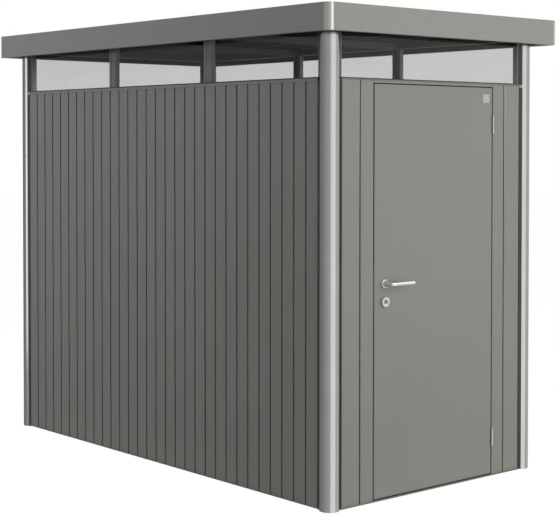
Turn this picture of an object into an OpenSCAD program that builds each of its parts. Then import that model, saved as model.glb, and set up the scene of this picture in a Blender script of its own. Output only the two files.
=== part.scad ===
// Flat-roofed metal tool shed on a base frame: ribbed wall sheets between round
// corner posts, a band of windows under the roof and one outward-opening door.
// Millimetres, +Z up, origin on the ground under the middle of the roof, door at -Y.

/* [Roof] */
// Width of the roof, side to side
roof_w = 1550; // [1500:10:2400]
// Length of the roof, front to back
roof_l = 2750; // [2000:10:3600]
// Height from the ground to the top of the roof edge
total_h = 2220; // [2150:10:2500]
// Reach of the roof beyond the walls
overhang = 95; // [75:1:110]
// Height of the fascia round the roof
fascia_h = 120; // [105:1:180]
// Gauge of the fascia
fascia_t = 2; // [1:0.5:4]
// Radius of the rounded fascia corners
fascia_r = 33; // [15:1:40]
// Straight leg of a fascia corner past its curve
corner_leg = 12; // [4:1:30]
// Inward lip along the bottom of the fascia
lip_w = 30; // [15:1:40]
// Turned-up edge of the lip
lip_turn = 8; // [4:1:20]
// Inward rim along the top of the fascia
rim_w = 40; // [20:1:44]
// Turned-down edge of the rim
rim_drop = 20; // [8:1:30]
// Drop of the fascia's inner shelf below its upper edge
shelf_drop = 70; // [60:1:80]

/* [Roof deck] */
// Wanted spacing of the standing ribs
deck_pitch = 120; // [80:5:200]
// Height of a standing rib
deck_rib_h = 18; // [8:1:24]
// Width of a standing rib at its foot
deck_rib_w = 34; // [20:1:50]
// Width of a standing rib at its crest
deck_crest_w = 18; // [10:1:30]
// Gauge of the deck
deck_t = 1.5; // [1:0.5:3]
// Number of deck sheets side by side
deck_sheets = 3; // [2:1:4]
// Width of a roof beam
beam_w = 45; // [30:1:70]

/* [Walls] */
// Wanted spacing of the wall ribs
rib_pitch = 80; // [60:1:110]
// Width of a groove at the face
groove_w = 9; // [6:0.5:14]
// Width of a groove at its bottom
groove_base = 6; // [3:0.5:8]
// Depth of a groove
groove_d = 9; // [5:0.5:11]
// Gauge of the wall sheets
sheet_t = 1.5; // [1:0.5:2]
// Setback of the sheets behind the sill's face
setback = 3; // [2.5:0.5:6]
// Outside radius of the bends in the door, its jambs and the front panels
bend_r = 5; // [4.5:0.5:8]
// Sheets along each long wall
wall_bays = 3; // [2:1:4]

/* [Posts] */
// Radius of the round corner posts
post_r = 45; // [40:1:55]
// Distance of a corner post's axis behind the two wall faces
post_inset = 33; // [28:1:38]
// Wall of the aluminium sections
post_t = 3; // [2:0.5:4]
// Reach of a post's flange past the ends of the rails, behind the sheets
flange_w = 10; // [6:1:20]
// Gap between the round of a post and the ends of the rails
post_gap = 1; // [0.5:0.5:8]
// Width of a window post
window_post_w = 58; // [40:1:80]
// Setback of a window post behind the wall face
window_post_d = 20; // [18:1:26]
// Depth of a window post
window_post_l = 25; // [20:1:36]

/* [Rails and windows] */
// Clear height of the windows, from the sill to the top rail
window_h = 218; // [140:1:280]
// Height of the sill's outer band
sill_band = 13; // [8:1:24]
// Thickness of the sill's outer band
band_t = 2; // [1:0.5:2]
// Height of the band over the door
head_band = 15; // [10:1:40]
// Length of the leg behind the wall sheets
sill_leg = 40; // [25:1:60]
// Thickness of the sections' plates
rail_t = 3; // [2:0.5:4]
// Depth of the frame sections behind the wall face
frame_d = 60; // [55:1:80]
// Height of the top rail
top_rail_h = 30; // [24:1:60]
// Thickness of the window panes
pane_t = 3; // [2:0.5:4]
// Cover of the top rail over the panes
pane_cover = 12; // [6:1:20]
// Upstand of the sill behind the panes
sill_upstand = 5; // [3:1:25]
// Height of the base rails
base_h = 60; // [40:1:90]
// Thickness of the door threshold
threshold_h = 8; // [5:1:12]
// Height of the folded floor panels
floor_h = 8; // [4:1:10]
// Number of floor panels, front to back
floor_count = 5; // [3:1:8]

/* [Door] */
// Width of the plain panel beside each jamb
panel_w = 110; // [60:1:160]
// Open joint between that panel and the jamb
panel_gap = 5; // [4:0.5:12]
// Running gap round the door
door_gap = 5; // [5:0.5:8]
// Width of the jamb faces
jamb_w = 81; // [60:1:86]
// Depth of the door's folded edge
door_d = 30; // [22:1:34]
// Gauge of the door's face
door_t = 2; // [1:0.5:3]
// Inward return of the door's folded edge
door_return = 28; // [15:1:40]
// Reach of a jamb's tongue behind the front panel
tongue_w = 12; // [8:1:20]
// Width of the door stop
stop_w = 16; // [12:1:24]
// Clearance between the shut door and its stop
stop_gap = 6; // [5:0.5:9]
// Number of cross members inside the door
door_braces = 3; // [2:1:5]
// Height of a cross member
brace_h = 60; // [40:1:90]

/* [Hinges] */
// Diameter of a hinge knuckle
knuckle_d = 9; // [8:0.5:9.5]
// Diameter of a hinge pin
pin_d = 5; // [4:0.5:6]
// Height of a hinge
hinge_h = 87; // [60:1:120]
// Distance of each hinge's middle from the top or bottom of the door
hinge_inset = 176; // [120:1:400]
// Thickness of a hinge leaf
leaf_t = 1.5; // [1:0.25:1.75]
// Depth of a hinge leaf
leaf_d = 22; // [15:1:26]

/* [Handle] */
// Height of the lever
handle_z = 983; // [850:1:1150]
// Distance of the lever's pivot from the door's edge
handle_inset = 64; // [45:1:80]
// Diameter of the lever's bar
lever_d = 16; // [12:1:20]
// Length of the lever from its pivot
lever_l = 134; // [110:1:180]
// Distance of the bar's axis from the door's face
lever_out = 57; // [45:1:70]
// Radius of the lever's bend
lever_bend = 12; // [10:1:20]
// Diameter of the lever's neck at the rose
neck_d = 32; // [18:1:34]
// Diameter of the spindle through the door
spindle_d = 12; // [8:1:14]
// Diameter of the lever's rose
rose_d = 38; // [35:1:52]
// Thickness of the lever's rose
rose_t = 6; // [4:1:12]
// Distance of the lock below the lever
lock_drop = 82; // [75:1:120]
// Diameter of the lock cylinder's guard
lock_d = 44; // [32:1:50]
// Projection of the lock cylinder's guard
lock_t = 12; // [8:1:24]
// Diameter of the lock cylinder
cylinder_d = 26; // [17:1:30]
// Depth of the recess round the lock cylinder's face
cylinder_recess = 5; // [2:1:8]

/* [Hidden] */
$fn = 48;
fit = 0.3;
eps = 0.01;

wall_color = [0.53, 0.53, 0.50];
silver = [0.75, 0.75, 0.75];
glass_color = [0.75, 0.78, 0.78, 0.5];

face_x = roof_w / 2 - overhang;
face_y = roof_l / 2 - overhang;
post_x = face_x - post_inset;
post_y = face_y - post_inset;

// Depths behind a wall face: sheets in front, flanges and rail legs behind them
sheet_depth = groove_d + sheet_t;
leg_d = setback + sheet_depth;
post_reach = frame_d - post_inset;
edge = sqrt(pow(post_r, 2) - pow(post_inset - leg_d, 2)) + post_gap;
side_len = 2 * (post_y - edge);
end_len = 2 * (post_x - edge);
flange_end = edge + flange_w;
pane_d = leg_d - pane_t;

roof_z = total_h - fascia_h;
shelf_z = total_h - shelf_drop;
top_z = shelf_z - top_rail_h;
sill_z = top_z - window_h;
deck_z = shelf_z + fascia_t;

bay = side_len / wall_bays;
bay_ribs = round(bay / rib_pitch);
rear_ribs = round(end_len / rib_pitch);

panel_x = end_len / 2 - groove_w / 2 - panel_w;
door_w = 2 * (panel_x - panel_gap - jamb_w);
door_half = door_w / 2 - door_gap;
door_face = setback;
door_top = sill_z - head_band - door_gap;
door_bottom = threshold_h + door_gap;
stop_d = door_face + door_d + stop_gap;
hinge_x = door_w / 2 - door_gap / 2;
hinge_d = door_face - knuckle_d / 2;
handle_x = -door_half + handle_inset;

rim_end = overhang + frame_d;
corner_l = fascia_r + corner_leg;
fascia_end = roof_w - 2 * corner_l;
fascia_side = roof_l - 2 * corner_l;
shelf_end = roof_w - 2 * (rim_end + fit);

// Outline of a ribbed sheet: broad flats joined by narrow grooves, with folded ends set in from
// its bay, and where it has a lap, a strip that closes the joint with the next sheet
function ribbed(n, pitch, top, base, depth, t, end, lap) = concat(
  [[end, depth + t], [end, 0]],
  [for (k = [1 : n - 1], p = [[-top, 0], [-base, depth], [base, depth], [top, 0]])
    [k * pitch + p[0] / 2, p[1]]],
  [[n * pitch - end, 0]],
  lap > 0 ? [[n * pitch - end, depth], [n * pitch - end + lap, depth]] : [],
  [[n * pitch - end + lap, depth + t]],
  [[n * pitch - end - t, depth + t], [n * pitch - end - t, t]],
  [for (k = [n - 1 : -1 : 1], p = [[top, t], [base, depth + t], [-base, depth + t], [-top, t]])
    [k * pitch + p[0] / 2 + sign(p[0]) * t, p[1]]],
  [[end + t, t], [end + t, depth + t]]
);

// A wall's own frame: x along the wall to the right as seen from outside, y inward from its face
module on_wall(side) {
  turn = side == "front" ? 0 : side == "right" ? 90 : side == "rear" ? 180 : 270;
  reach = side == "front" || side == "rear" ? face_y : face_x;
  rotate([0, 0, turn])
    translate([0, -reach, 0])
      children();
}

// A section drawn as depth against height, run along a wall and centred on it
module run(length) {
  translate([-length / 2, 0, 0])
    rotate([90, 0, 90])
      linear_extrude(length)
        children();
}

module plate(d0, d1, z0, z1) {
  translate([d0, z0])
    square([d1 - d0, z1 - z0]);
}

// Room for the flanges of both corner posts at the ends of a rail
module flange_room(length) {
  for (s = [-1, 1])
    translate([s * (length / 2 + edge - flange_end / 2), leg_d + rail_t / 2, shelf_z / 2])
      cube([flange_end + 2 * fit, post_t + 2 * fit, 2 * shelf_z], center = true);
}

module base_rail(side, length) {
  color(silver)
    on_wall(side)
      difference() {
        run(length) {
          plate(leg_d, leg_d + rail_t, 0, base_h);
          plate(leg_d, frame_d, 0, rail_t);
        }
        flange_room(length);
      }
}

module base_rail_front() {
  color(silver)
    on_wall("front")
      difference() {
        run(end_len)
          plate(setback, frame_d, 0, threshold_h);
        flange_room(end_len);
      }
}

module floor_panels() {
  floor_x = 2 * (face_x - frame_d - fit);
  floor_y = 2 * (face_y - frame_d - fit);
  step = floor_y / floor_count;
  color(silver)
    for (k = [0 : floor_count - 1])
      translate([-floor_x / 2, -floor_y / 2 + k * step, 0])
        difference() {
          cube([floor_x, step - fit, floor_h]);
          translate([rail_t, rail_t, -eps])
            cube([floor_x - 2 * rail_t, step - fit - 2 * rail_t, floor_h - rail_t]);
        }
}

// Hollow section, round outside and square inside, with a flange behind each side of the round
// that closes it and stands behind the sheet of the wall it joins
module corner_post(sx, sy) {
  inset = post_inset - leg_d;
  color(silver)
    translate([sx * post_x, sy * post_y, 0])
      mirror([sx < 0 ? 0 : 1, 0, 0])
        mirror([0, sy < 0 ? 0 : 1, 0])
          linear_extrude(shelf_z)
            difference() {
              union() {
                difference() {
                  circle(post_r);
                  translate([post_reach, -inset])
                    square(2 * post_r);
                  translate([-inset, post_reach])
                    square(2 * post_r);
                }
                translate([0, -inset])
                  square([flange_end, post_t]);
                translate([-inset, 0])
                  square([post_t, flange_end]);
              }
              intersection() {
                circle(post_r - post_t);
                translate([-post_r, -post_r]) {
                  square(post_r + post_reach - post_t);
                  square([2 * post_r, post_r - inset]);
                  square([post_r - inset, 2 * post_r]);
                }
              }
            }
}

// Folded sections behind the joints of the long walls, from the base rail to the top rail
module window_posts(side) {
  color(wall_color)
    on_wall(side)
      for (k = [1 : wall_bays - 1])
        translate([-side_len / 2 + k * bay, window_post_d, rail_t])
          linear_extrude(top_z - rail_t - fit)
            difference() {
              translate([-window_post_w / 2, 0])
                square([window_post_w, window_post_l]);
              translate([-window_post_w / 2 + rail_t, rail_t])
                square([window_post_w - 2 * rail_t, window_post_l]);
            }
}

module wall_sheet(n, pitch, lapped) {
  lap = lapped ? groove_w - fit : 0;
  translate([0, setback, rail_t])
    linear_extrude(sill_z - 2 * rail_t - fit)
      polygon(ribbed(n, pitch, groove_w, groove_base, groove_d, sheet_t, groove_w / 2, lap));
}

module wall_sheets(side) {
  color(wall_color)
    on_wall(side)
      for (k = [0 : wall_bays - 1])
        translate([-side_len / 2 + k * bay, 0, 0])
          wall_sheet(bay_ribs, bay / bay_ribs, k < wall_bays - 1);
}

module rear_wall_sheet() {
  color(wall_color)
    on_wall("rear")
      translate([-end_len / 2, 0, 0])
        wall_sheet(rear_ribs, end_len / rear_ribs, false);
}

// Plan of a folded panel from its face inward, with both front edges bent to a radius
module folded(width, depth, r) {
  for (x = [r, width - r])
    translate([x, r])
      circle(r);
  translate([r, 0])
    square([width - 2 * r, depth]);
  translate([0, r])
    square([width, depth - r]);
}

// Plain folded panel between a door jamb and a corner post
module front_panel(s) {
  color(wall_color)
    on_wall("front")
      mirror([s < 0 ? 1 : 0, 0, 0])
        translate([panel_x, setback, threshold_h])
          linear_extrude(sill_z - rail_t - fit - threshold_h)
            difference() {
              folded(panel_w, sheet_depth, bend_r);
              translate([sheet_t, sheet_t])
                folded(panel_w - 2 * sheet_t, sheet_depth, bend_r - sheet_t);
            }
}

// Door jamb: broad face, deep reveal with the door stop, and a tongue behind the front panel
module door_jamb(s) {
  color(wall_color)
    on_wall("front")
      mirror([s < 0 ? 1 : 0, 0, 0])
        translate([door_w / 2, 0, threshold_h])
          linear_extrude(sill_z - rail_t - fit - threshold_h) {
            difference() {
              translate([0, setback])
                folded(jamb_w, stop_d + rail_t - setback, bend_r);
              translate([rail_t, setback + rail_t])
                folded(jamb_w - 2 * rail_t, stop_d, bend_r - rail_t);
              translate([jamb_w / 2, leg_d + rail_t])
                square([jamb_w, stop_d]);
            }
            translate([-stop_w, stop_d])
              square([stop_w + rail_t, rail_t]);
            translate([jamb_w - rail_t, leg_d])
              square([rail_t + panel_gap + tongue_w, rail_t]);
          }
}

module sill_rail(side, length) {
  color(wall_color)
    on_wall(side)
      difference() {
        run(length) {
          plate(0, band_t, sill_z - sill_band, sill_z);
          plate(0, window_post_d, sill_z - rail_t, sill_z);
          plate(leg_d, leg_d + rail_t, sill_z - sill_leg, sill_z + sill_upstand);
        }
        flange_room(length);
      }
}

// The front sill is also the head of the doorway: face and soffit between the jambs, and the head stop
module sill_rail_front() {
  head_z = sill_z - head_band;
  color(wall_color)
    on_wall("front") {
      difference() {
        run(end_len) {
          plate(0, stop_d + rail_t, sill_z - rail_t, sill_z);
          plate(leg_d, leg_d + rail_t, sill_z - rail_t, sill_z + sill_upstand);
        }
        flange_room(end_len);
      }
      run(door_w - 2 * fit) {
        plate(setback, setback + rail_t, head_z, sill_z);
        plate(setback, stop_d - fit, head_z, head_z + rail_t);
      }
      run(door_w - 2 * (stop_w + fit))
        plate(stop_d, stop_d + rail_t, door_top - stop_w, sill_z);
    }
}

module panes(side, length, count) {
  step = length / count;
  color(glass_color)
    on_wall(side)
      for (k = [0 : count - 1])
        translate([-length / 2 + k * step + fit, pane_d, sill_z])
          cube([step - 2 * fit, pane_t - fit, top_z + pane_cover - sill_z]);
}

module top_rail(side, length) {
  color(wall_color)
    on_wall(side)
      difference() {
        run(length) {
          plate(band_t, band_t + rail_t, top_z, shelf_z);
          plate(band_t, pane_d - fit, top_z, top_z + rail_t);
          plate(band_t, frame_d, shelf_z - rail_t, shelf_z);
          plate(leg_d, leg_d + rail_t, top_z, shelf_z);
          plate(frame_d - rail_t, frame_d, top_z, shelf_z);
          plate(leg_d, frame_d, top_z, top_z + rail_t);
        }
        flange_room(length);
      }
}

module roof_beams() {
  span = 2 * (face_x - frame_d - fit);
  color(wall_color)
    on_wall("front")
      for (k = [1 : wall_bays - 1])
        translate([-span / 2, face_y - side_len / 2 + k * bay, 0])
          rotate([90, 0, 90])
            linear_extrude(span)
              difference() {
                plate(-beam_w / 2, beam_w / 2, top_z, deck_z);
                plate(-beam_w / 2 + rail_t, beam_w / 2 - rail_t, top_z - eps, deck_z - rail_t);
              }
}

// Deck sheets with standing ribs that run front to back, carried by the fascia's shelf
module roof_sheets() {
  deck_w = roof_w - 2 * (rim_w + fascia_t);
  deck_l = roof_l - 2 * (rim_w + fascia_t);
  width = deck_w / deck_sheets;
  n = round(width / deck_pitch);
  color(wall_color)
    for (k = [0 : deck_sheets - 1])
      translate([-deck_w / 2 + k * width, deck_l / 2, deck_z])
        rotate([90, 0, 0])
          linear_extrude(deck_l)
            polygon(ribbed(n, width / n, deck_rib_w, deck_crest_w, deck_rib_h, deck_t, fit, 0));
}

// Fascia strip between two corners, with its lip, rim and the shelf that rests on the top rail
module fascia(side, length, shelf_length) {
  color(wall_color)
    on_wall(side)
      translate([0, -overhang, 0]) {
        run(length) {
          plate(0, fascia_t, roof_z, total_h);
          plate(0, lip_w, roof_z, roof_z + fascia_t);
          plate(lip_w - fascia_t, lip_w, roof_z, roof_z + lip_turn);
          plate(0, rim_w, total_h - fascia_t, total_h);
          plate(rim_w - fascia_t, rim_w, total_h - rim_drop, total_h);
        }
        run(shelf_length)
          plate(0, rim_end, shelf_z, shelf_z + fascia_t);
      }
}

// Quarter of the roof's outline at one corner, set in from the edge
module corner_area(inset, reach) {
  r = max(fascia_r - inset, eps);
  intersection() {
    square(reach);
    union() {
      translate([inset + r, inset + r])
        circle(r);
      translate([inset + r, inset])
        square(reach);
      translate([inset, inset + r])
        square(reach);
    }
  }
}

module corner_plan(width) {
  difference() {
    corner_area(0, corner_l - fit);
    corner_area(width, corner_l);
  }
}

module fascia_corners() {
  color(silver)
    for (sx = [-1, 1], sy = [-1, 1])
      mirror([sx < 0 ? 0 : 1, 0, 0])
        mirror([0, sy < 0 ? 0 : 1, 0])
          translate([-roof_w / 2, -roof_l / 2, roof_z]) {
            linear_extrude(fascia_h)
              corner_plan(fascia_t);
            linear_extrude(fascia_t)
              corner_plan(lip_w);
            translate([0, 0, fascia_h - fascia_t])
              linear_extrude(fascia_t)
                corner_plan(rim_w);
          }
}

// One half of each hinge: s = 1 on the jamb with the pin, s = -1 on the door
module hinge_half(s) {
  half = hinge_h / 2 - fit;
  color(silver)
    on_wall("front")
      for (z = [door_bottom + hinge_inset, door_top - hinge_inset])
        translate([hinge_x, hinge_d, s > 0 ? z - hinge_h / 2 : z + fit]) {
          difference() {
            cylinder(d = knuckle_d, h = half);
            if (s < 0)
              translate([0, 0, -eps])
                cylinder(d = pin_d + 2 * fit, h = half + 2 * eps);
          }
          if (s > 0)
            cylinder(d = pin_d, h = hinge_h);
          translate([s > 0 ? door_gap / 2 - leaf_t : -door_gap / 2, pin_d / 2 + fit, 0])
            cube([leaf_t, leaf_d, half]);
        }
}

module frame_hinge_leaves() {
  hinge_half(1);
}

module door_hinge_leaves() {
  hinge_half(-1);
}

// Folded pan with bent edges, returned behind, and inner cross members
module door_leaf() {
  height = door_top - door_bottom;
  inner_w = 2 * (door_half - door_t);
  color(wall_color)
    on_wall("front")
      difference() {
        translate([-door_half, door_face, door_bottom])
          linear_extrude(height)
            folded(2 * door_half, door_d, bend_r);
        difference() {
          translate([-inner_w / 2, door_face + door_t, door_bottom + door_t])
            linear_extrude(height - 2 * door_t)
              folded(inner_w, door_d, bend_r - door_t);
          difference() {
            translate([-door_half, door_face + door_d - door_t, door_bottom])
              cube([2 * door_half, door_t, height]);
            translate([-door_half + door_return, door_face, door_bottom + door_return])
              cube([2 * (door_half - door_return), 2 * door_d, height - 2 * door_return]);
          }
          for (k = [1 : door_braces])
            translate([-door_half, door_face, door_bottom + k * height / (door_braces + 1) - brace_h / 2])
              cube([2 * door_half, door_d - door_t, brace_h]);
        }
        translate([handle_x, 0, handle_z])
          rotate([-90, 0, 0])
            cylinder(d = spindle_d + 2 * fit, h = 2 * door_d);
      }
}

// Places the door's fittings, with z standing out from the door's face
module on_door(z) {
  on_wall("front")
    translate([handle_x, door_face, z])
      rotate([90, 0, 0])
        children();
}

// Rose round the lever's neck, and the guard with the lock cylinder in its recess
module rose_and_lock() {
  color(silver) {
    on_door(handle_z)
      difference() {
        cylinder(d = rose_d, h = rose_t);
        translate([0, 0, -eps])
          cylinder(d = spindle_d + 2 * fit, h = rose_t + 2 * eps);
      }
    on_door(handle_z - lock_drop)
      difference() {
        cylinder(d = lock_d, h = lock_t);
        translate([0, 0, lock_t - cylinder_recess])
          cylinder(d = cylinder_d, h = 2 * cylinder_recess);
      }
  }
}

// Bent round lever with a tapered neck, on its spindle
module door_handle() {
  neck_top = lever_out - lever_bend;
  color(silver)
    on_door(handle_z) {
      translate([0, 0, -door_d])
        cylinder(d = spindle_d, h = door_d + rose_t + 2 * fit);
      translate([0, 0, rose_t + fit])
        cylinder(d1 = neck_d, d2 = lever_d, h = neck_top - rose_t - fit);
      translate([lever_bend, 0, neck_top])
        rotate([90, 0, 180])
          rotate_extrude(angle = 90)
            translate([lever_bend, 0])
              circle(d = lever_d);
      translate([lever_bend, 0, lever_out])
        rotate([0, 90, 0])
          cylinder(d = lever_d, h = lever_l - lever_bend);
    }
}

base_rail_front();
base_rail("rear", end_len);  // base_rail_rear
base_rail("left", side_len);  // base_rail_left
base_rail("right", side_len);  // base_rail_right
floor_panels();
corner_post(-1, -1);  // corner_post_front_left
corner_post(1, -1);  // corner_post_front_right
corner_post(-1, 1);  // corner_post_rear_left
corner_post(1, 1);  // corner_post_rear_right
window_posts("left");  // left_window_posts
window_posts("right");  // right_window_posts
wall_sheets("left");  // left_wall_sheets
wall_sheets("right");  // right_wall_sheets
rear_wall_sheet();
front_panel(-1);  // front_panel_left
front_panel(1);  // front_panel_right
door_jamb(-1);  // door_jamb_left
door_jamb(1);  // door_jamb_right
sill_rail_front();
sill_rail("rear", end_len);  // sill_rail_rear
sill_rail("left", side_len);  // sill_rail_left
sill_rail("right", side_len);  // sill_rail_right
panes("front", end_len, 1);  // front_window_pane
panes("rear", end_len, 1);  // rear_window_pane
panes("left", side_len, wall_bays);  // left_window_panes
panes("right", side_len, wall_bays);  // right_window_panes
top_rail("front", end_len);  // top_rail_front
top_rail("rear", end_len);  // top_rail_rear
top_rail("left", side_len);  // top_rail_left
top_rail("right", side_len);  // top_rail_right
roof_beams();
roof_sheets();
fascia("front", fascia_end, shelf_end);  // fascia_front
fascia("rear", fascia_end, shelf_end);  // fascia_rear
fascia("left", fascia_side, fascia_side);  // fascia_left
fascia("right", fascia_side, fascia_side);  // fascia_right
fascia_corners();
frame_hinge_leaves();
door_leaf();
door_hinge_leaves();
rose_and_lock();
door_handle();
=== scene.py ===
import math

import bmesh
import bpy
from mathutils import Matrix, Vector


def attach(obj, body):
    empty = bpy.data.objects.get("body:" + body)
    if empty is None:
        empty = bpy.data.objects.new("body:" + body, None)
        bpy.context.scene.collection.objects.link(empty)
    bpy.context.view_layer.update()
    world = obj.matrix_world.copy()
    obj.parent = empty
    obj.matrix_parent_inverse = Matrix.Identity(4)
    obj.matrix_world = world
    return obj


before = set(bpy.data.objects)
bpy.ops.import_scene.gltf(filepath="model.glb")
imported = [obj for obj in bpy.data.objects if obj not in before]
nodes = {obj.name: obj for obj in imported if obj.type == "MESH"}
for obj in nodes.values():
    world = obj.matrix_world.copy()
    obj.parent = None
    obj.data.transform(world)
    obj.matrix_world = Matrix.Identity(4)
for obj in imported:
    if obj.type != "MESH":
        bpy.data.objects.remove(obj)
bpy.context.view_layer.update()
scene = bpy.context.scene
scene.view_settings.view_transform = "Standard"
print("frame loaded,", len(nodes), "parts")


class Wire:
    # a socket that takes part in Python sums; each operator adds one Math node
    def __init__(self, sheet, socket):
        self.sheet = sheet
        self.socket = socket

    def maths(self, operation, *others):
        values = dict(enumerate((self,) + others))
        return self.sheet.out("ShaderNodeMath", {"operation": operation}, values)

    def __add__(self, other):
        return self.maths("ADD", other)

    def __radd__(self, other):
        return self.maths("ADD", other)

    def __sub__(self, other):
        return self.maths("SUBTRACT", other)

    def __rsub__(self, other):
        return self.sheet.out("ShaderNodeMath", {"operation": "SUBTRACT"}, {0: other, 1: self})

    def __mul__(self, other):
        return self.maths("MULTIPLY", other)

    def __rmul__(self, other):
        return self.maths("MULTIPLY", other)

    def __truediv__(self, other):
        return self.maths("DIVIDE", other)

    def __pow__(self, other):
        return self.maths("POWER", other)

    def limited(self):
        return self.sheet.out("ShaderNodeClamp", {}, {0: self})


class Sheet:
    # a node tree with one method that adds any node: its type, settings, then socket values or links
    def __init__(self, tree):
        self.tree = tree

    def add(self, kind, settings=None, sockets=None):
        node = self.tree.nodes.new(kind)
        for name, value in (settings or {}).items():
            if name == "stops":
                for place, grey in value[1:-1]:
                    node.color_ramp.elements.new(place)
                for stop, (place, grey) in zip(node.color_ramp.elements, value):
                    stop.position = place
                    stop.color = (grey, grey, grey, 1)
            else:
                setattr(node, name, value)
        for name, value in (sockets or {}).items():
            if isinstance(value, Wire):
                self.tree.links.new(value.socket, node.inputs[name])
            else:
                node.inputs[name].default_value = value
        return node

    def out(self, kind, settings=None, sockets=None, output=0):
        return Wire(self, self.add(kind, settings, sockets).outputs[output])

    def noise(self, place, scale, detail=2.0):
        return self.out("ShaderNodeTexNoise", {}, {"Vector": place, "Scale": scale, "Detail": detail})

    def stretched(self, place, scale):
        return self.out("ShaderNodeMapping", {}, {"Vector": place, "Scale": scale})

    def mixed(self, factor, first, second):
        sockets = {"Factor": factor, 6: first, 7: second}
        return self.out("ShaderNodeMix", {"data_type": "RGBA"}, sockets, 2)


def newFinish(name):
    material = bpy.data.materials.new(name)
    material.use_nodes = True
    sheet = Sheet(material.node_tree)
    shader = material.node_tree.nodes["Principled BSDF"]
    place = sheet.out("ShaderNodeTexCoord", {}, {}, "Object")
    return material, sheet, shader, place


def setShader(sheet, shader, **sockets):
    for name, value in sockets.items():
        socket = shader.inputs[name.replace("_", " ")]
        if isinstance(value, Wire):
            sheet.tree.links.new(value.socket, socket)
        else:
            socket.default_value = value


def shade(colour, factor):
    return (colour[0] * factor, colour[1] * factor, colour[2] * factor, 1)


def roundedNormal(sheet, radius, height, strength, distance):
    # bent edges read as rounded, with the surface's own fine relief on top
    soft = sheet.out("ShaderNodeBevel", {"samples": 4}, {"Radius": radius})
    sockets = {"Strength": strength, "Distance": distance, "Height": height, "Normal": soft}
    return soft, sheet.out("ShaderNodeBump", {}, sockets)


# powder coat on sheets and rails
coatLook = {
    "colour": (0.247, 0.242, 0.219),
    "cloud": 0.035,         # broad uneven tone
    "cloudScale": 1.4,
    "cloudRough": 0.12,
    "streak": 0.025,        # faint upright wash marks
    "streakStretch": (34, 34, 0.7),
    "speck": 0.05,          # grain of the powder
    "speckScale": 620,
    "speckRough": 0.08,
    "peelScale": 260,       # slight orange peel
    "relief": 0.05,
    "reliefDepth": 0.0006,
    "dust": (0.36, 0.33, 0.28),
    "dustHeight": 0.30,     # splash zone above the ground
    "dustMost": 0.16,
    "dustScale": 14,
    "dustRough": 0.6,
    "rough": 0.36,
    "gloss": 0.4,
    "edge": 0.0014,
    "edgeGain": 2.2,
    "edgeWearAndHighlight": 0.16,       # edges painted lighter: a little rubbed, and a painted highlight
    "edgeLight": 1.9,
    "paintedShade": 0.68,          # painted shade, darkest deep in a groove
    "paintedShadeReach": 0.030,
    "paintedShadeDark": 0.12,
    "foldHighlight": 0,              # painted highlight on upright folds, stronger towards the head
    "foldLight": 3.2,
    "foldLow": 1.1,
    "foldRise": 0.8,
}


def coatedSteel(name, look, liningAndShade=None):
    material, sheet, shader, place = newFinish(name)
    parts = sheet.add("ShaderNodeSeparateXYZ", {}, {0: place})
    height = Wire(sheet, parts.outputs[2])
    broad = sheet.noise(place, look["cloudScale"], 3.0)
    wash = sheet.noise(sheet.stretched(place, look["streakStretch"]), 1.0, 3.0)
    speck = sheet.noise(place, look["speckScale"], 1.0)
    peel = sheet.noise(place, look["peelScale"], 2.0)
    low = ((look["dustHeight"] - height) / look["dustHeight"]).limited()
    dusty = low * low * sheet.noise(place, look["dustScale"], 4.0) * (2 * look["dustMost"])
    tone = (broad - 0.5) * (2 * look["cloud"]) + (wash - 0.5) * (2 * look["streak"]) + (speck - 0.5) * look["speck"]
    coat = sheet.mixed((tone + 0.5).limited(), shade(look["colour"], 0.5), shade(look["colour"], 1.5))
    soft, normal = roundedNormal(sheet, look["edge"], peel * 0.6 + speck * 0.4, look["relief"], look["reliefDepth"])
    facing = sheet.add("ShaderNodeNewGeometry")
    turn = sheet.out("ShaderNodeVectorMath", {"operation": "DOT_PRODUCT"},
                     {0: soft, 1: Wire(sheet, facing.outputs["Normal"])}, "Value")
    # edges painted lighter where the rounded normal turns: partly rubbed paint, partly a painted highlight
    edge = ((1 - turn) * look["edgeGain"]).limited()
    coat = sheet.mixed(edge * look["edgeWearAndHighlight"], coat, shade(look["colour"], look["edgeLight"]))
    # painted shade: the coat darkens where ambient occlusion finds surfaces close by, in grooves, recesses and under
    # the eaves
    openness = sheet.out("ShaderNodeAmbientOcclusion", {"samples": 6}, {"Distance": look["paintedShadeReach"]}, "AO")
    coat = sheet.mixed((1 - openness) * look["paintedShade"], coat, shade(look["colour"], look["paintedShadeDark"]))
    coat = sheet.mixed(dusty.limited(), coat, (*look["dust"], 1))
    if look["foldHighlight"]:  # painted highlight on the slanted faces of a fold, where nothing stands close and near the wall's middle
        turned = sheet.add("ShaderNodeSeparateXYZ", {}, {0: Wire(sheet, facing.outputs["Normal"])})
        lean = Wire(sheet, turned.outputs[0]).maths("ABSOLUTE")
        beside = Wire(sheet, parts.outputs[0]).maths("ABSOLUTE").maths("LESS_THAN", look["foldWithin"])
        foldHighlight = ((lean - 0.05) * 15).limited() * ((0.7 - lean) * 8).limited() * openness ** 3
        foldHighlight = foldHighlight * beside * ((height - look["foldLow"]) / look["foldRise"]).limited() ** 2
        coat = sheet.mixed(foldHighlight * look["foldHighlight"], coat, shade(look["colour"], look["foldLight"]))
    if liningAndShade:  # darker on the faces that look down: a dark fleece under the sheet, and painted shade under the roof
        side = sheet.add("ShaderNodeSeparateXYZ", {}, {0: Wire(sheet, facing.outputs["Normal"])})
        under = (Wire(sheet, side.outputs[2]) * -40).limited()
        coat = sheet.mixed(under, coat, sheet.mixed(peel, shade(liningAndShade, 0.7), shade(liningAndShade, 1.3)))
    rough = look["rough"] + (broad - 0.5) * look["cloudRough"] + (speck - 0.5) * look["speckRough"]
    setShader(sheet, shader, Base_Color=coat, Normal=normal, Roughness=rough + dusty * look["dustRough"])
    shader.inputs["Specular IOR Level"].default_value = look["gloss"]
    return material


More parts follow.
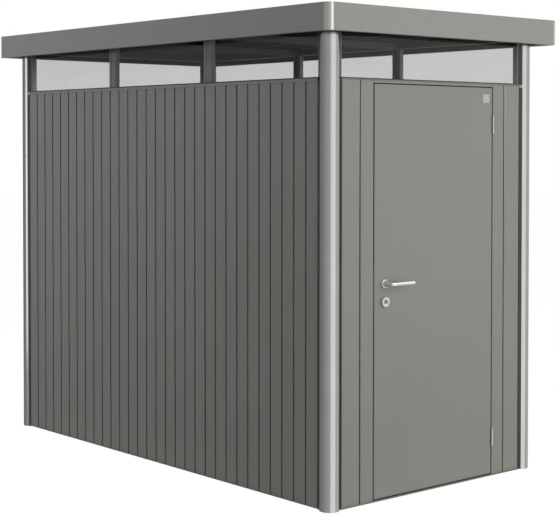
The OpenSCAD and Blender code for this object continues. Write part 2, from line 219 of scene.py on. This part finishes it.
# bare metals: what they share, then each one's own tone, gloss and direction of grain
brushed = {"cloudScale": 6.0, "cloudRough": 0.10, "dark": 0.88, "light": 1.10, "edge": 0.0010, "relief": 0.06,
           "reliefDepth": 0.0004}
metalLook = {
    "post": {"colour": (0.49, 0.49, 0.48), "rough": 0.18, "grain": (900, 900, 2.2), "vary": 0.10},
    "corner": {"colour": (0.68, 0.68, 0.67), "rough": 0.13, "grain": (900, 900, 2.2), "vary": 0.06},
    "plate": {"colour": (0.62, 0.62, 0.61), "rough": 0.30, "grain": (40, 900, 900), "vary": 0.12},
    "cylinder": {"colour": (0.34, 0.34, 0.33), "rough": 0.30, "grain": (500, 500, 500), "vary": 0.10},
    "handle": {"colour": (0.88, 0.88, 0.87), "rough": 0.22, "grain": (60, 900, 900), "vary": 0.10},
    "hinge": {"colour": (0.60, 0.60, 0.60), "rough": 0.30, "grain": (500, 500, 40), "vary": 0.10},
    "threshold": {"colour": (0.21, 0.21, 0.20), "rough": 0.42, "grain": (3, 240, 240), "vary": 0.16},
    "floor": {"colour": (0.46, 0.46, 0.45), "rough": 0.46, "grain": (3, 240, 240), "vary": 0.22},
}


def bareMetal(name, look, coated=None):
    material, sheet, shader, place = newFinish(name)
    grain = sheet.noise(sheet.stretched(place, look["grain"]), 1.0, 3.0)
    cloud = sheet.noise(place, brushed["cloudScale"], 4.0)
    tone = sheet.mixed(grain * 0.5 + cloud * 0.5, shade(look["colour"], brushed["dark"]),
                       shade(look["colour"], brushed["light"]))
    normal = roundedNormal(sheet, brushed["edge"], grain, brushed["relief"], brushed["reliefDepth"])[1]
    setShader(sheet, shader, Base_Color=tone, Normal=normal,
              Roughness=look["rough"] + (grain - 0.5) * look["vary"] + (cloud - 0.5) * brushed["cloudRough"])
    shader.inputs["Metallic"].default_value = 1.0
    if coated:  # bare round the nose, and paint on the rest of the bend and on the legs or flanges
        parts = sheet.add("ShaderNodeSeparateXYZ", {}, {0: place})
        across = [Wire(sheet, parts.outputs[k]).maths("ABSOLUTE") for k in (0, 1)]
        bend, nose = [across[0].maths("GREATER_THAN", x) * across[1].maths("GREATER_THAN", y)
                      for x, y in (coated["bend"], coated["nose"])]
        paint = sheet.mixed(bend, (*coated["leg"], 1), (*coated["colour"], 1))
        setShader(sheet, shader, Metallic=nose, Base_Color=sheet.mixed(nose, paint, tone),
                  Roughness=nose * (look["rough"] - coated["rough"]) + coated["rough"])
    return material


# clear panes with a faint film of dirt
glassLook = {"tint": (0.735, 0.74, 0.74), "rough": 0.015, "smudge": 0.05, "refraction": 1.30,
             "smearStretch": (3, 3, 9), "filmFrom": 0.52, "filmGain": 4, "filmShow": 0.5,
             "clean": 1.03, "dirty": 0.95}


def clearPane(name, look):
    material, sheet, shader, place = newFinish(name)
    smear = sheet.noise(sheet.stretched(place, look["smearStretch"]), 1.0, 5.0)
    film = ((smear - look["filmFrom"]) * look["filmGain"]).limited()
    tint = sheet.mixed(film * look["filmShow"], shade(look["tint"], look["clean"]), shade(look["tint"], look["dirty"]))
    setShader(sheet, shader, Base_Color=tint, Roughness=look["rough"] + film * look["smudge"])
    shader.inputs["IOR"].default_value = look["refraction"]
    shader.inputs["Transmission Weight"].default_value = 1.0
    # lamps shine through the pane
    path = sheet.add("ShaderNodeLightPath")
    clear = sheet.out("ShaderNodeBsdfTransparent", {}, {"Color": shade(look["tint"], 1.0)})
    sockets = {0: Wire(sheet, path.outputs["Is Shadow Ray"]), 1: Wire(sheet, shader.outputs[0]), 2: clear}
    both = sheet.out("ShaderNodeMixShader", {}, sockets)
    sheet.tree.links.new(both.socket, sheet.tree.nodes["Material Output"].inputs["Surface"])
    return material


rubberLook = {"colour": (0.062, 0.062, 0.060), "rough": 0.62, "gloss": 0.3,
              "bloom": (0.13, 0.128, 0.123), "bloomScale": 9, "bloomFrom": 0.45, "bloomGain": 3, "bloomShow": 0.4,
              "grainScale": 900, "grainShow": 0.1, "grainRough": 0.2, "relief": 0.15, "reliefDepth": 0.0003}


def blackRubber(name, look):
    material, sheet, shader, place = newFinish(name)
    # greyish bloom of old rubber
    bloom = ((sheet.noise(place, look["bloomScale"], 4.0) - look["bloomFrom"]) * look["bloomGain"]).limited()
    grain = sheet.noise(place, look["grainScale"], 2.0)
    tone = sheet.mixed(bloom * look["bloomShow"] + grain * look["grainShow"], (*look["colour"], 1), (*look["bloom"], 1))
    sockets = {"Strength": look["relief"], "Distance": look["reliefDepth"], "Height": grain}
    normal = sheet.out("ShaderNodeBump", {}, sockets)
    setShader(sheet, shader, Base_Color=tone, Normal=normal,
              Roughness=look["rough"] + (grain - 0.5) * look["grainRough"])
    shader.inputs["Specular IOR Level"].default_value = look["gloss"]
    return material


# the fascia's coat is painted lighter than the walls' coat: painted light for the brighter fascia
fasciaLitColour = (0.29, 0.285, 0.259)
postFlange = (0.606, 1.206)  # the posts' flanges lie nearer the middle than this, in metres
coat = coatedSteel("warm_grey_coat", coatLook)
fasciaCoat = coatedSteel("fascia_coat", {**coatLook, "colour": fasciaLitColour, "paintedShade": 0.1})
# painted shade: top rails and roof beams under the eaves get the coat painted darker
eavesShadedCoat = coatedSteel("eaves_shaded_coat", {**coatLook, "colour": (0.21, 0.206, 0.186), "paintedShade": 0.1})
# painted light: window posts behind the panes get the coat painted lighter
windowPostLitCoat = coatedSteel("window_post_lit_coat", {**coatLook, "colour": (0.37, 0.363, 0.33), "paintedShade": 0.3})
# front panels: the coat with the painted highlight on their folds
panelCoat = coatedSteel("panel_coat", {**coatLook, "foldHighlight": 0.8, "foldWithin": 0.55})
roofLook = {**coatLook, "cloud": 0.07, "streak": 0.0, "rough": 0.60, "gloss": 0.12, "paintedShade": 0.1}
roofCoat = coatedSteel("roof_coat", roofLook, liningAndShade=(0.085, 0.085, 0.083))
railMetal = bareMetal("galvanised_rail", metalLook["floor"])
postMetal = bareMetal("anodised_post", metalLook["post"],
                      {"bend": postFlange, "nose": postFlange, "leg": coatLook["colour"],
                       "colour": coatLook["colour"], "rough": coatLook["rough"]})
# on the corner trim the bend is painted lighter than the fascia, a painted highlight for the light that bend catches;
# the nose is bare metal
cornerTrim = bareMetal("corner_trim", metalLook["corner"],
                       {"bend": (0.742, 1.345), "nose": (0.742, 1.3722), "leg": fasciaLitColour,
                        "colour": (0.48, 0.475, 0.445), "rough": coatLook["rough"]})
satin = bareMetal("satin_handle", metalLook["handle"])
hingeSteel = bareMetal("hinge_steel", metalLook["hinge"])
floorMetal = bareMetal("floor_sheet", metalLook["floor"])
thresholdMetal = bareMetal("worn_threshold", metalLook["threshold"])
glazing = clearPane("clear_glazing", glassLook)
rubber = blackRubber("black_rubber", rubberLook)
plateMetal = bareMetal("brushed_plate", metalLook["plate"])
cylinderMetal = bareMetal("dark_nickel", metalLook["cylinder"])


def finishOf(name):
    if name.endswith(("window_pane", "window_panes")):
        return glazing
    if name == "base_rail_front":
        return thresholdMetal
    if name.startswith("corner_post"):
        return postMetal
    if name.startswith("base_rail"):
        return railMetal
    if name == "fascia_corners":
        return cornerTrim
    if name == "floor_panels":
        return floorMetal
    if name.endswith("hinge_leaves"):
        return hingeSteel
    if name in ("door_handle", "rose_and_lock"):
        return satin
    if name == "roof_sheets":
        return roofCoat
    if name.startswith("fascia"):
        return fasciaCoat
    if name.startswith(("top_rail", "roof_beam")):
        return eavesShadedCoat
    if name.endswith("window_posts"):
        return windowPostLitCoat
    if name.startswith("front_panel"):
        return panelCoat
    return coat


for name, part in nodes.items():
    part.data.materials.clear()
    part.data.materials.append(finishOf(name))
print("finishes on all parts")


# small pieces; lengths in the dictionaries are millimetres
def bare():
    if bpy.context.object and bpy.context.object.mode != "OBJECT":
        bpy.ops.object.mode_set(mode="OBJECT")
    bpy.ops.object.select_all(action="DESELECT")


def block(name, low, high):
    bare()
    low, high = Vector(low) / 1000, Vector(high) / 1000
    bpy.ops.mesh.primitive_cube_add(size=1, location=(low + high) / 2)
    piece = bpy.context.object
    piece.name = piece.data.name = name
    piece.scale = high - low
    bpy.ops.object.transform_apply(location=True, rotation=True, scale=True)
    return piece


def drum(name, centre, radius, length, vertices, turn=(0, 0, 0)):
    bare()
    bpy.ops.mesh.primitive_cylinder_add(vertices=vertices, radius=radius / 1000, depth=length / 1000,
                                        location=Vector(centre) / 1000, rotation=turn)
    piece = bpy.context.object
    piece.name = piece.data.name = name
    bpy.ops.object.transform_apply(location=True, rotation=True, scale=True)
    return piece


def pick(piece, kind, wanted):
    # edit mode, with only the wanted faces or edges selected
    bpy.context.view_layer.objects.active = piece
    bpy.ops.object.mode_set(mode="EDIT")
    bpy.ops.mesh.select_mode(type="FACE" if kind == "faces" else "EDGE")
    bpy.ops.mesh.select_all(action="DESELECT")
    shell = bmesh.from_edit_mesh(piece.data)
    for item in getattr(shell, kind):
        item.select_set(bool(wanted(item)))
    shell.select_flush_mode()
    bmesh.update_edit_mesh(piece.data)


def along(edge, axis):
    way = edge.verts[1].co - edge.verts[0].co
    return abs(way[axis]) > 0.999 * way.length


def middle(edge):
    return (edge.verts[0].co + edge.verts[1].co) / 2


def bevelled(piece, wanted, radius, segments=3):
    pick(piece, "edges", wanted)
    bpy.ops.mesh.bevel(offset=radius / 1000, segments=segments)
    bpy.ops.object.mode_set(mode="OBJECT")


def recessed(piece, normal, border, depth):
    # inset the faces that look along the normal, then push them in, or out where the depth is negative
    pick(piece, "faces", lambda face: face.normal.dot(Vector(normal)) > 0.99)
    bpy.ops.mesh.inset(thickness=border / 1000, depth=0)
    bpy.ops.mesh.extrude_region_move(TRANSFORM_OT_translate={"value": Vector(normal) * (-depth / 1000)})
    bpy.ops.object.mode_set(mode="OBJECT")


def copied(piece, name, place=(0, 0, 0), turn=0):
    bare()
    piece.select_set(True)
    bpy.context.view_layer.objects.active = piece
    bpy.ops.object.duplicate()
    twin = bpy.context.object
    twin.name = twin.data.name = name
    twin.location = Vector(place) / 1000
    twin.rotation_euler = (0, 0, math.radians(turn))
    bpy.ops.object.transform_apply(location=True, rotation=True, scale=True)
    return twin


def joined(name, parts):
    bare()
    for part in parts:
        part.select_set(True)
    bpy.context.view_layer.objects.active = parts[0]
    bpy.ops.object.join()
    piece = bpy.context.object
    piece.name = piece.data.name = name
    return piece


def cutOut(piece, tool):
    bare()
    bpy.context.view_layer.objects.active = piece
    cut = piece.modifiers.new("cut", "BOOLEAN")
    cut.operation = "DIFFERENCE"
    cut.solver = "EXACT"
    cut.object = tool
    bpy.ops.object.modifier_apply(modifier="cut")
    bpy.data.objects.remove(tool, do_unlink=True)


def fitted(piece, body, finish, smooth=40):
    bare()
    piece.select_set(True)
    bpy.context.view_layer.objects.active = piece
    bpy.ops.object.shade_smooth_by_angle(angle=math.radians(smooth))
    piece.data.materials.clear()
    piece.data.materials.append(finish)
    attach(piece, body)
    bare()


wall = {"faceX": 680, "faceY": 1280, "endHalf": 605.4, "sideHalf": 1205.4, "sill": 1902, "top": 2120,
        "paneFace": 10.5}
sides = (("front", 0, wall["faceY"], wall["endHalf"]), ("right", 90, wall["faceX"], wall["sideHalf"]),
         ("rear", 180, wall["faceY"], wall["endHalf"]), ("left", 270, wall["faceX"], wall["sideHalf"]))


def onWall(turn, reach, x):
    # a point on a wall's face, x to the right as seen from outside
    return Matrix.Rotation(math.radians(turn), 4, "Z") @ Vector((x, -reach, 0))


# black glazing strip at the foot and head of the panes
# the strips' dark rubber also stands in for the shade along the panes' edges: painted shade
strip = {"height": 6, "front": 4.0, "round": 2.0, "headHeight": 5}
for side, turn, reach, half in sides:
    foot = block("strip", (-half + 0.5, strip["front"], wall["sill"]),
                 (half - 0.5, wall["paneFace"], wall["sill"] + strip["height"]))
    bevelled(foot, lambda edge: along(edge, 0) and middle(edge).y * 1000 < strip["front"] + 1
             and middle(edge).z * 1000 > wall["sill"] + 1, strip["round"])
    head = block("strip", (-half + 0.5, strip["front"], wall["top"] - strip["headHeight"]),
                 (half - 0.5, wall["paneFace"], wall["top"]))
    bevelled(head, lambda edge: along(edge, 0) and middle(edge).y * 1000 < strip["front"] + 1
             and middle(edge).z * 1000 < wall["top"] - 1, strip["round"])
    both = joined("strip", [foot, head])
    fitted(copied(both, "glazing_strip_" + side, onWall(turn, reach, 0), turn), "shed", rubber)
    bpy.data.objects.remove(both, do_unlink=True)
print("glazing strips")

# rubber wedges in the corner between each round post and the sheet, panel or pane beside it;
# x is measured from the post's axis, negative towards the wall's middle
# the wedges' dark rubber also stands in for the shade deep in the gap beside each post: painted shade
wedge = {
    "postAxis": 41.56, "round": 0.6, "channel": 0.9,
    "sheet": {"edge": -45.8, "foot": -41.6, "front": 3.2, "back": 13.4, "lip": -28.4, "lipDepth": -3.1,
              "rim": 2.2, "low": 3.2, "high": 1888},
    "panel": {"edge": -41.3, "foot": -40.4, "front": 7.0, "back": 13.4, "lip": -28.4, "lipDepth": -3.1,
              "rim": 2.2, "low": 3.2, "high": 1888},
    "pane": {"edge": -41.3, "foot": -38.8, "front": 8.6, "back": 10.4, "lip": -28.4, "lipDepth": -2.9,
             "rim": 2.2, "low": 1902.5, "high": 2149},
}


def wedgeBar(look):
    bar = block("wedge", (look["edge"], look["front"], look["low"]), (look["foot"], look["back"], look["high"]))
    pick(bar, "edges", lambda edge: along(edge, 2) and middle(edge).y * 1000 < look["front"] + 0.5
         and middle(edge).x * 1000 > look["foot"] - 0.4)
    reach = Vector((look["lip"] - look["foot"], look["lipDepth"] - look["front"], 0))
    bpy.ops.transform.translate(value=reach / 1000)
    bpy.ops.object.mode_set(mode="OBJECT")
    bevelled(bar, lambda edge: along(edge, 2) and middle(edge).y * 1000 < look["front"] + 0.5, wedge["round"], 2)
    slope = Vector((look["lipDepth"] - look["front"], look["edge"] - look["lip"], 0)).normalized()
    recessed(bar, slope, look["rim"], wedge["channel"])
    return bar


def mirrorTwin(piece, name):
    twin = copied(piece, name)
    bare()
    twin.select_set(True)
    bpy.context.view_layer.objects.active = twin
    bpy.ops.transform.mirror(constraint_axis=(True, False, False))
    bpy.ops.object.transform_apply(location=True, rotation=True, scale=True)
    bpy.ops.object.mode_set(mode="EDIT")
    bpy.ops.mesh.select_all(action="SELECT")
    bpy.ops.mesh.normals_make_consistent(inside=False)
    bpy.ops.object.mode_set(mode="OBJECT")
    return twin


seals = {}
for beside in ("sheet", "panel"):
    model = joined("wedge", [wedgeBar(wedge[beside]), wedgeBar(wedge["pane"])])
    seals[beside] = (model, mirrorTwin(model, "wedge_twin"))
for side, turn, reach, half in sides:
    axis = half + wedge["postAxis"]
    model, twin = seals["panel" if side == "front" else "sheet"]
    pair = [copied(twin, "wedge", onWall(turn, reach, -axis), turn),
            copied(model, "wedge", onWall(turn, reach, axis), turn)]
    fitted(joined("post_seal_" + side, pair), "shed", rubber)
for spare in seals["sheet"] + seals["panel"]:
    bpy.data.objects.remove(spare, do_unlink=True)
print("post seals")

# soft seal on the door stop, clear of the shut door
doorSeal = {"edge": 400, "width": 7.5, "back": 39, "front": 34.6, "round": 3.2, "foot": 8.3, "head": 1873.5}


def sealRun(low, high, axis):
    bar = block("run", low, high)
    bevelled(bar, lambda edge: along(edge, axis) and middle(edge).y * 1000 < low[1] + 1, doorSeal["round"])
    return bar


sealY = (-wall["faceY"] + doorSeal["front"], -wall["faceY"] + doorSeal["back"])
inner = doorSeal["edge"] - doorSeal["width"]
runs = [sealRun((-doorSeal["edge"], sealY[0], doorSeal["foot"]), (-inner, sealY[1], doorSeal["head"]), 2),
        sealRun((inner, sealY[0], doorSeal["foot"]), (doorSeal["edge"], sealY[1], doorSeal["head"]), 2),
        sealRun((-inner + 0.2, sealY[0], doorSeal["head"] - doorSeal["width"]),
                (inner - 0.2, sealY[1], doorSeal["head"]), 0)]
fitted(joined("door_seal", runs), "shed", rubber)
print("door seal")

# bare square plate near the top of the door's hinge edge
plate = {"x": 355.5, "z": 1830, "high": 42, "wide": 46, "thick": 1.4, "corner": 4, "edge": 0.4, "rim": 1.6,
         "dish": 0.3}
doorY = -wall["faceY"] + 3
badge = block("door_plate",
              (plate["x"] - plate["wide"] / 2, doorY - plate["thick"], plate["z"] - plate["high"] / 2),
              (plate["x"] + plate["wide"] / 2, doorY, plate["z"] + plate["high"] / 2))
bevelled(badge, lambda edge: along(edge, 1), plate["corner"], 5)
bevelled(badge, lambda edge: middle(edge).y < (doorY - plate["thick"] + 0.1) / 1000 and not along(edge, 1),
         plate["edge"], 2)
recessed(badge, (0, -1, 0), plate["rim"], plate["dish"])
fitted(badge, "door", plateMetal)
print("door plate")

# lock cylinder in the guard's recess, with its keyway
lock = {"x": -335.94, "z": 901, "floor": 7, "face": 10.4, "radius": 10.2, "rim": 1.6, "dish": 0.5, "edge": 0.3,
        "keyWide": 2.6, "keyHigh": 10.5, "keyFloor": 7.6, "keyRound": 1.0}
core = drum("lock_cylinder", (lock["x"], doorY - (lock["floor"] + lock["face"]) / 2, lock["z"]), lock["radius"],
            lock["face"] - lock["floor"], 48, (math.pi / 2, 0, 0))
recessed(core, (0, -1, 0), lock["rim"], lock["dish"])
bevelled(core, lambda edge: middle(edge).y < (doorY - lock["face"] + 0.05) / 1000, lock["edge"], 2)
keyway = block("keyway",
               (lock["x"] - lock["keyWide"] / 2, doorY - lock["face"] - 2, lock["z"] - lock["keyHigh"] / 2),
               (lock["x"] + lock["keyWide"] / 2, doorY - lock["keyFloor"], lock["z"] + lock["keyHigh"] / 2))
bevelled(keyway, lambda edge: along(edge, 1), lock["keyRound"], 3)
cutOut(core, keyway)
fitted(core, "door", cylinderMetal)
print("lock cylinder")

# latch in the door's edge and its strike on the jamb
latch = {"edge": -399.94, "front": 9, "back": 31, "low": 865, "high": 1055, "thick": 1.1, "corner": 3,
         "bolt": 2.2, "boltRoot": 0.4, "boltFront": 13, "boltBack": 26, "boltLow": 966, "boltHigh": 1000,
         "boltRound": 1.0}
face = block("latch", (latch["edge"] - latch["thick"], -wall["faceY"] + latch["front"], latch["low"]),
             (latch["edge"], -wall["faceY"] + latch["back"], latch["high"]))
bevelled(face, lambda edge: along(edge, 0), latch["corner"], 4)
bolt = block("bolt", (latch["edge"] - latch["bolt"], -wall["faceY"] + latch["boltFront"], latch["boltLow"]),
             (latch["edge"] - latch["boltRoot"], -wall["faceY"] + latch["boltBack"], latch["boltHigh"]))
bevelled(bolt, lambda edge: along(edge, 2) and middle(edge).x * 1000 < latch["edge"] - 1.6, latch["boltRound"], 3)
fitted(joined("latch_face", [face, bolt]), "door", hingeSteel)
catch = {"jamb": -404.94, "low": 885, "high": 1035, "holeLow": 964, "holeHigh": 1002, "holeFront": 11.5,
         "holeBack": 27.5, "holeFloor": 0.4, "holeRound": 1.5}
strike = block("strike_plate", (catch["jamb"], -wall["faceY"] + latch["front"], catch["low"]),
               (catch["jamb"] + latch["thick"], -wall["faceY"] + latch["back"], catch["high"]))
bevelled(strike, lambda edge: along(edge, 0), latch["corner"], 4)
hole = block("hole", (catch["jamb"] + catch["holeFloor"], -wall["faceY"] + catch["holeFront"], catch["holeLow"]),
             (catch["jamb"] + 5, -wall["faceY"] + catch["holeBack"], catch["holeHigh"]))
bevelled(hole, lambda edge: along(edge, 0), catch["holeRound"], 3)
cutOut(strike, hole)
fitted(strike, "shed", hingeSteel)
print("latch and strike")

# roof screws with washers on the ribs over the beams and both end rails
screw = {"crest": 2171.5, "washer": 7.5, "washerHigh": 1.6, "head": 4.4, "headHigh": 3.6, "domeRim": 1.2, "dome": 0.7,
         "rows": (-1250, -401.8, 401.8, 1250), "deckHalf": 733, "sheets": 3, "ribs": 4}
stud = drum("stud", (0, 0, screw["washerHigh"] / 2), screw["washer"], screw["washerHigh"], 12)
recessed(stud, (0, 0, 1), screw["washer"] - screw["head"], -screw["headHigh"])
recessed(stud, (0, 0, 1), screw["domeRim"], -screw["dome"])
step = 2 * screw["deckHalf"] / (screw["sheets"] * screw["ribs"])
places = [(-screw["deckHalf"] + k * step, y, screw["crest"]) for y in screw["rows"]
          for k in range(1, screw["sheets"] * screw["ribs"]) if k % screw["ribs"]]
fitted(joined("roof_screws", [copied(stud, "stud", place) for place in places]), "shed", hingeSteel)
bpy.data.objects.remove(stud, do_unlink=True)
print("roof screws")


# the photo's view
cameraSet = {
    "place": (-4.9168, -5.8058, 1.6277),
    "pitch": -1.4344,
    "yaw": 40.2814,
    "lens": 92.293,
    "sensor": 36,
    "shift": (0.0346, -0.1449),
}
bpy.ops.object.camera_add(location=cameraSet["place"],
                          rotation=(math.radians(90 + cameraSet["pitch"]), 0, -math.radians(cameraSet["yaw"])))
camera = bpy.context.object
camera.data.lens = cameraSet["lens"]
camera.data.sensor_width = cameraSet["sensor"]
camera.data.shift_x, camera.data.shift_y = cameraSet["shift"]
scene.camera = camera

# studio floor and light
studio = {
    "floor": 0.64,
    "floorSize": 60,
    "floorDrop": 0.0005,
    "floorGlow": 1.275,   # what the camera sees of the floor besides its light and shadow
    "floorSeen": 0.75,
    "ambient": 0.20,
    # surroundings that metal and glass reflect, from behind the shed round to its front
    "around": ((0.0, 0.27), (0.5, 0.46), (0.91, 0.62), (0.962, 1.27), (1.0, 1.27)),
    "rightLift": 0.20,    # the room is lighter to the right
    "above": 1.5,
    "below": 0.7,
    "slant": 0.3,         # how steep a direction is where the levels above and below begin
    "slantGain": 4,
    "lamps": (
        # name, place, aimed at, size, power, spread in degrees, colour, whether only gloss shows it
        ("front_softbox", (0.8, -6.2, 2.1), (0.0, -1.28, 1.6), (10.0, 4.6), 300, 180, (1.0, 1.0, 1.0), False),
        ("left_softbox", (-5.0, 4.2, 2.7), (-0.68, 1.2, 1.7), (3.0, 3.0), 54, 110, (0.885, 0.90, 1.0), False),
        ("rear_panel", (-3.13, 1.45, 1.25), (-0.65, 1.25, 1.25), (0.9, 2.4), 1.15, 60, (1.0, 1.0, 1.0), True),
    ),
}
bpy.ops.mesh.primitive_plane_add(size=studio["floorSize"], location=(0, 0, -studio["floorDrop"]))
ground = bpy.context.object
ground.name = "studio_floor"


def raysOf(sheet):
    # what the camera sees, directly or through glass, and what gloss shows
    path = sheet.add("ShaderNodeLightPath")
    through = Wire(sheet, path.outputs["Is Transmission Ray"])
    bounced = (Wire(sheet, path.outputs["Diffuse Depth"]) + Wire(sheet, path.outputs["Glossy Depth"])).limited()
    mirrored = Wire(sheet, path.outputs["Glossy Depth"]).limited() * through
    seen = Wire(sheet, path.outputs["Is Camera Ray"]).maths("MAXIMUM", through * (1 - bounced))
    return seen, Wire(sheet, path.outputs["Is Glossy Ray"]).maths("MAXIMUM", mirrored)


floorPaint = bpy.data.materials.new("studio_floor")
floorPaint.use_nodes = True
sheet = Sheet(floorPaint.node_tree)
floorPaint.node_tree.nodes.clear()
seen, gloss = raysOf(sheet)
matt = sheet.out("ShaderNodeBsdfDiffuse", {}, {"Color": (studio["floor"],) * 3 + (1,)})
white = sheet.out("ShaderNodeEmission", {}, {"Color": (1, 1, 1, 1), "Strength": studio["floorGlow"]})
pale = sheet.out("ShaderNodeMixShader", {}, {0: seen * studio["floorSeen"], 1: matt, 2: white})
clear = sheet.out("ShaderNodeBsdfTransparent")
both = sheet.out("ShaderNodeMixShader", {}, {0: gloss, 1: pale, 2: clear})
sheet.add("ShaderNodeOutputMaterial", {}, {"Surface": both})
ground.data.materials.append(floorPaint)

world = bpy.data.worlds.new("studio")
world.use_nodes = True
scene.world = world
sheet = Sheet(world.node_tree)
world.node_tree.nodes.clear()
seen, gloss = raysOf(sheet)
soft = sheet.out("ShaderNodeBackground", {}, {"Color": (1, 1, 1, 1), "Strength": studio["ambient"]})
way = sheet.out("ShaderNodeTexCoord", {}, {}, "Generated")
level = sheet.out("ShaderNodeVectorMath", {"operation": "MULTIPLY"}, {0: way, 1: (1, 1, 0)})
level = sheet.out("ShaderNodeVectorMath", {"operation": "NORMALIZE"}, {0: level})
flat = sheet.add("ShaderNodeSeparateXYZ", {}, {0: level})
ahead = 0.5 - 0.5 * Wire(sheet, flat.outputs[1])
around = sheet.out("ShaderNodeValToRGB", {"stops": studio["around"]}, {0: ahead})
around = around + Wire(sheet, flat.outputs[0]).maths("MAXIMUM", 0) * studio["rightLift"]
rise = Wire(sheet, sheet.add("ShaderNodeSeparateXYZ", {}, {0: way}).outputs[2])
upward = ((rise - studio["slant"]) * studio["slantGain"]).limited()
downward = ((-studio["slant"] - rise) * studio["slantGain"]).limited()
sky = sheet.mixed(upward, around, (studio["above"],) * 3 + (1,))
sky = sheet.mixed(downward, sky, (studio["below"],) * 3 + (1,))
sheen = sheet.out("ShaderNodeBackground", {}, {"Color": sky, "Strength": 1.0})
white = sheet.out("ShaderNodeBackground", {}, {"Color": (1, 1, 1, 1), "Strength": 1.0})
rest = sheet.out("ShaderNodeMixShader", {}, {0: gloss, 1: soft, 2: sheen})
both = sheet.out("ShaderNodeMixShader", {}, {0: seen, 1: rest, 2: white})
sheet.add("ShaderNodeOutputWorld", {}, {"Surface": both})

for name, place, target, size, power, spread, colour, glossOnly in studio["lamps"]:
    aim = (Vector(target) - Vector(place)).to_track_quat("-Z", "Y").to_euler()
    bpy.ops.object.light_add(type="AREA", location=place, rotation=aim)
    lamp = bpy.context.object
    lamp.name = name
    lamp.data.shape = "RECTANGLE"
    lamp.data.size, lamp.data.size_y = size
    lamp.data.energy = power
    lamp.data.spread = math.radians(spread)
    lamp.data.color = colour
    lamp.visible_camera = lamp.visible_transmission = False
    lamp.visible_glossy, lamp.visible_diffuse = glossOnly, not glossOnly
print("studio set")
